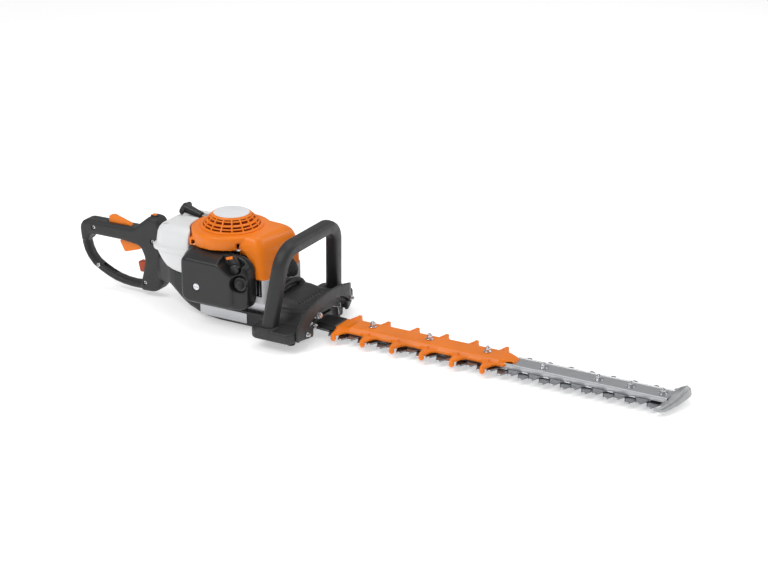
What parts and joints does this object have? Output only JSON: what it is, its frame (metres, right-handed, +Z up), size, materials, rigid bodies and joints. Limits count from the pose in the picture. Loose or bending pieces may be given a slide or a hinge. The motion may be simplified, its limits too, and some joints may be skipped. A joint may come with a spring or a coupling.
{
  "type": "hedge trimmer",
  "caption": "Petrol hedge trimmer with a double-sided reciprocating blade, finger guard, swivelling rear loop handle, front bar handle and recoil starter.",
  "frame": {"origin": "point of the base's underside under the crankshaft axis, which is vertical", "axes": "+X forward along the blade, +Y to the user's left, +Z up"},
  "size_m": [1.1809, 0.253, 0.1917],
  "materials": {
    "black_plastic": "fine moulded texture",
    "black_satin": "satin moulded",
    "orange_plastic": "satin moulded",
    "lever_orange": "satin moulded",
    "grey_plastic": "satin moulded",
    "tank_plastic": "translucent milky moulded",
    "label_silver": "blank foil",
    "badge_white": "blank moulded disc",
    "cast_alloy": "die cast",
    "bar_alloy": "brushed",
    "blade_steel": "ground",
    "machined_steel": "machined",
    "screw_steel": "zinc plated",
    "tip_alloy": "sand cast",
    "soft_rubber": "smooth",
    "filter_felt": "pleated felt",
    "rope_fibre": "braided"
  },
  "bodies": {
    "machine": {"engine_base": "black_plastic", "gear_housing": "cast_alloy", "gear_cover": "cast_alloy", "front_housing": "black_plastic", "front_handle": "black_plastic", "hand_guard": "black_plastic", "handle_screws": "screw_steel", "swivel_flange": "black_plastic", "rubber_buffers": "soft_rubber", "rating_plate": "label_silver", "crankcase": "cast_alloy", "engine_cylinder": "cast_alloy", "crank_bearings": "machined_steel", "ignition_module": "black_satin", "spark_plug": "machined_steel", "plug_boot": "soft_rubber", "ignition_lead": "soft_rubber", "top_cover": "orange_plastic", "badge_disc": "badge_white", "cover_screws": "screw_steel", "engine_shroud": "grey_plastic", "muffler": "machined_steel", "muffler_shield": "black_plastic", "rewind_spring": "machined_steel", "starter_rope": "rope_fibre", "fuel_tank": "tank_plastic", "fuel_line": "soft_rubber", "carburettor": "cast_alloy", "filter_base": "black_plastic", "air_filter": "filter_felt", "filter_cover": "black_satin", "filter_screw": "screw_steel", "throttle_cable": "soft_rubber", "drive_bearings": "machined_steel", "guide_bar": "bar_alloy", "bar_holder": "black_plastic", "bar_bolts": "screw_steel", "finger_guard": "orange_plastic", "tip_guard": "tip_alloy"},
    "crank": {"crankshaft": "machined_steel", "flywheel": "cast_alloy", "flywheel_nut": "screw_steel", "clutch_shoes": "machined_steel"},
    "piston_group": {"piston": "cast_alloy", "connecting_rod": "machined_steel"},
    "clutch_bell": {"clutch_drum": "machined_steel"},
    "eccentric_gear": {"drive_gear": "machined_steel"},
    "blade_upper": {"upper_blade": "blade_steel"},
    "blade_lower": {"lower_blade": "blade_steel"},
    "starter_drum": {"starter_pulley": "black_satin"},
    "starter_handle": {"starter_grip": "black_plastic"},
    "fuel_cap": {"tank_cap": "black_plastic"},
    "primer": {"primer_bulb": "soft_rubber"},
    "choke": {"choke_knob": "orange_plastic"},
    "rear_handle": {"handle_shell_right": "black_plastic", "handle_shell_left": "black_plastic"},
    "trigger": {"throttle_trigger": "orange_plastic"},
    "lockout": {"trigger_lockout": "orange_plastic"},
    "swivel_lock": {"swivel_lock_lever": "lever_orange"},
    "stop_switch": {"stop_button": "black_plastic"}
  },
  "joints": [
    {"name": "handle_swivel", "type": "hinge", "parent": "machine", "child": "rear_handle", "pos_m": [-0.146, 0, 0.06], "axis": [1, 0, 0], "range_deg": [-90, 90]},
    {"name": "trigger_pull", "type": "hinge", "parent": "rear_handle", "child": "trigger", "pos_m": [-0.191, 0, 0.106], "axis": [0, 1, 0], "range_deg": [0, 14], "stiffness_Nm_per_rad": 0.6, "springref_deg": -11.46},
    {"name": "lockout_press", "type": "hinge", "parent": "rear_handle", "child": "lockout", "pos_m": [-0.208, 0, 0.127], "axis": [0, -1, 0], "range_deg": [0, 9], "stiffness_Nm_per_rad": 0.4, "springref_deg": -11.46},
    {"name": "swivel_lock_slide", "type": "slide", "parent": "rear_handle", "child": "swivel_lock", "axis": [-1, 0, 0], "range_m": [0, 0.006], "stiffness_N_per_m": 600, "springref_m": -0.002},
    {"name": "stop_press", "type": "slide", "parent": "rear_handle", "child": "stop_switch", "axis": [0, 0, -1], "range_m": [0, 0.003], "stiffness_N_per_m": 600, "springref_m": -0.002},
    {"name": "crank_spin", "type": "hinge", "parent": "machine", "child": "crank", "pos_m": [0, 0, 0.088], "axis": [0, 0, 1], "continuous": true},
    {"name": "piston_travel", "type": "slide", "parent": "machine", "child": "piston_group", "axis": [-1, 0, 0], "range_m": [0, 0.025]},
    {"name": "blade_stroke", "type": "slide", "parent": "machine", "child": "blade_upper", "axis": [1, 0, 0], "range_m": [-0.0095, 0.0095]},
    {"name": "lower_blade_stroke", "type": "slide", "parent": "machine", "child": "blade_lower", "axis": [1, 0, 0], "range_m": [-0.0095, 0.0095]},
    {"name": "gear_turn", "type": "hinge", "parent": "machine", "child": "eccentric_gear", "pos_m": [0.051, 0, 0.02], "axis": [0, 0, 1], "range_deg": [-90.5, 90.5]},
    {"name": "clutch_bell_turn", "type": "hinge", "parent": "machine", "child": "clutch_bell", "pos_m": [0, 0, 0.02], "axis": [0, 0, 1], "range_deg": [-320, 320]},
    {"name": "starter_pull", "type": "slide", "parent": "machine", "child": "starter_handle", "axis": [-0.9703, 0, 0.2419], "range_m": [0, 0.7], "stiffness_N_per_m": 12, "springref_m": -0.15},
    {"name": "starter_drum_turn", "type": "hinge", "parent": "machine", "child": "starter_drum", "pos_m": [0, 0, 0.16], "axis": [0, 0, 1], "range_deg": [-2010, 2010]},
    {"name": "fuel_cap_turn", "type": "hinge", "parent": "machine", "child": "fuel_cap", "pos_m": [-0.095, 0.06, 0.126], "axis": [0, 1, 0], "range_deg": [0, 270]},
    {"name": "primer_press", "type": "slide", "parent": "machine", "child": "primer", "axis": [0, 1, 0], "range_m": [0, 0.004], "stiffness_N_per_m": 400, "springref_m": -0.002},
    {"name": "choke_turn", "type": "hinge", "parent": "machine", "child": "choke", "pos_m": [0.058, -0.098, 0.118], "axis": [0, 1, 0], "range_deg": [0, 60]}
  ],
  "couplings": [
    {"joint": "lower_blade_stroke", "follows": "blade_stroke", "ratio": -1},
    {"joint": "gear_turn", "follows": "blade_stroke", "rad_per_m": -165.35},
    {"joint": "clutch_bell_turn", "follows": "blade_stroke", "rad_per_m": 584.23},
    {"joint": "starter_drum_turn", "follows": "starter_pull", "rad_per_m": -50}
  ]
}
